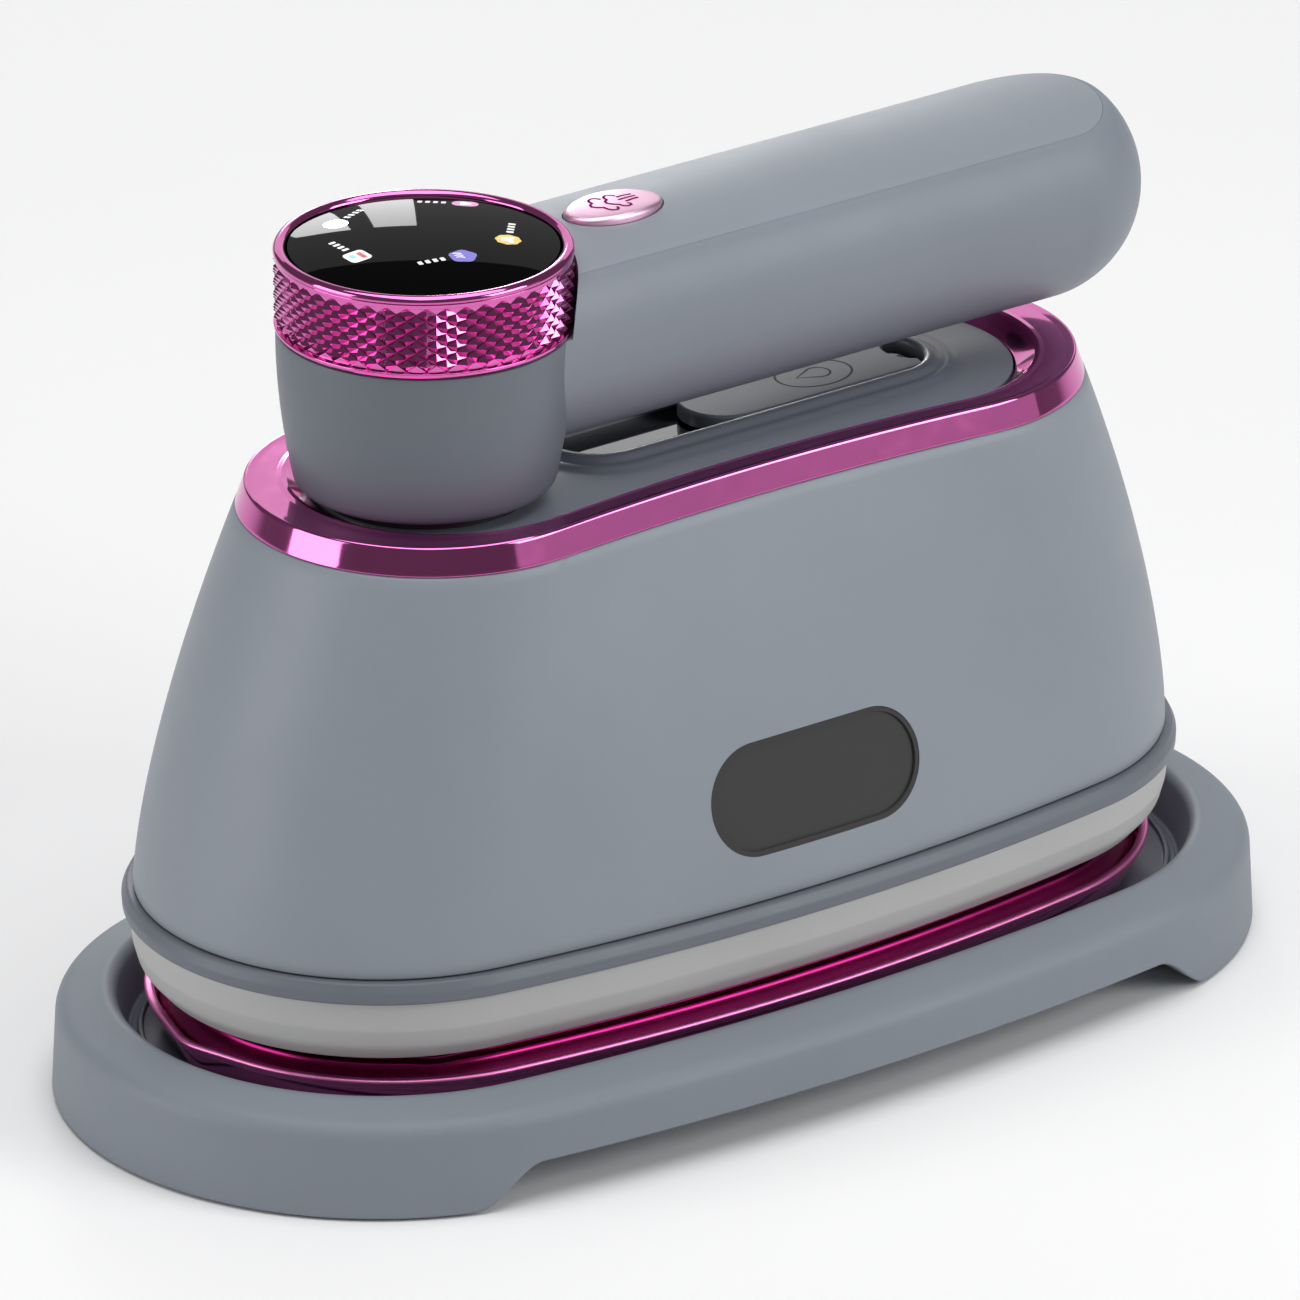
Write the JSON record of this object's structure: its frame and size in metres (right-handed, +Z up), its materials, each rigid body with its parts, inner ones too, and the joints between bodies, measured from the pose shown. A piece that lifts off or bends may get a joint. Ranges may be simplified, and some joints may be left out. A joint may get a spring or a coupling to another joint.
{
  "type": "garment steamer",
  "caption": "Small steam iron with a folding swivel grip, knurled dial with round display, steam button and sliding tank cover, on its own stand tray.",
  "frame": {"origin": "middle of the tray's footprint, on the surface it stands on", "axes": "+X along the sole towards the free end of the folded grip, +Z up, the water window faces -Y"},
  "size_m": [0.215, 0.1112, 0.1419],
  "materials": {
    "shell_grey": "soft satin moulded",
    "tray_grey": "matte silicone",
    "mat_grey": "matte silicone",
    "magenta_metal": "tinted mirror plating",
    "band_grey": "satin heat-proof plastic",
    "deck_grey": "satin moulded",
    "dark_pane": "smoked, semi-gloss",
    "smoked_tank": "smoked clear plastic",
    "black_lens": "black glass, polished",
    "black_rubber": "matte",
    "clear_silicone": "matte translucent",
    "cast_aluminium": "as cast",
    "steel": "brushed",
    "zinc_screw": "zinc plated",
    "nylon_black": "moulded",
    "nylon_white": "moulded",
    "board_green": "solder resist"
  },
  "bodies": {
    "tray": {"tray_base": "tray_grey", "tray_foot_pads": "black_rubber", "tray_mat": "mat_grey"},
    "cover": {"tank_cover": "deck_grey"},
    "grip": {"swivel_spindle": "nylon_black", "swivel_clip": "steel", "grip_shell": "shell_grey", "grip_cover": "shell_grey", "grip_screws": "zinc_screw", "cord_gland": "black_rubber", "button_guide": "nylon_black", "button_spring": "steel", "steam_switch": "nylon_black", "grip_board": "board_green", "dial_hub": "nylon_black", "dial_sensor": "board_green", "display_board": "board_green", "display_glass": "black_lens"},
    "dial": {"dial_ring": "magenta_metal"},
    "button": {"steam_button": "magenta_metal"},
    "iron": {"sole_plate": "magenta_metal", "sole_collar": "magenta_metal", "heater_block": "cast_aluminium", "heater_rod": "steel", "chamber_lid": "cast_aluminium", "heater_screws": "zinc_screw", "thermostat": "steel", "thermal_fuse": "nylon_white", "base_frame": "band_grey", "frame_screws": "zinc_screw", "skirt_ring": "shell_grey", "body_shell": "shell_grey", "window_pane": "dark_pane", "window_gasket": "black_rubber", "trim_ring": "magenta_metal", "deck_panel": "deck_grey", "water_tank": "smoked_tank", "filler_seal": "black_rubber", "pump": "nylon_black", "suction_hose": "clear_silicone", "steam_hose": "clear_silicone", "control_board": "board_green", "swivel_socket": "nylon_black", "swivel_washer": "nylon_black"}
  },
  "joints": [
    {"name": "iron_lift", "type": "slide", "parent": "tray", "child": "iron", "axis": [0, 0, 1], "range_m": [0, 0.06]},
    {"name": "grip_swivel", "type": "hinge", "parent": "iron", "child": "grip", "pos_m": [-0.046, 0, 0.1016], "axis": [0, 0, 1], "range_deg": [0, 180]},
    {"name": "dial_turn", "type": "hinge", "parent": "grip", "child": "dial", "pos_m": [-0.046, 0, 0.134], "axis": [0, 0, 1], "continuous": true},
    {"name": "button_press", "type": "slide", "parent": "grip", "child": "button", "axis": [0, 0, -1], "range_m": [0, 0.0015], "stiffness_N_per_m": 600, "springref_m": -0.002, "deforming": ["button_spring"]},
    {"name": "cover_slide", "type": "slide", "parent": "iron", "child": "cover", "axis": [-1, 0, 0], "range_m": [0, 0.02]}
  ]
}
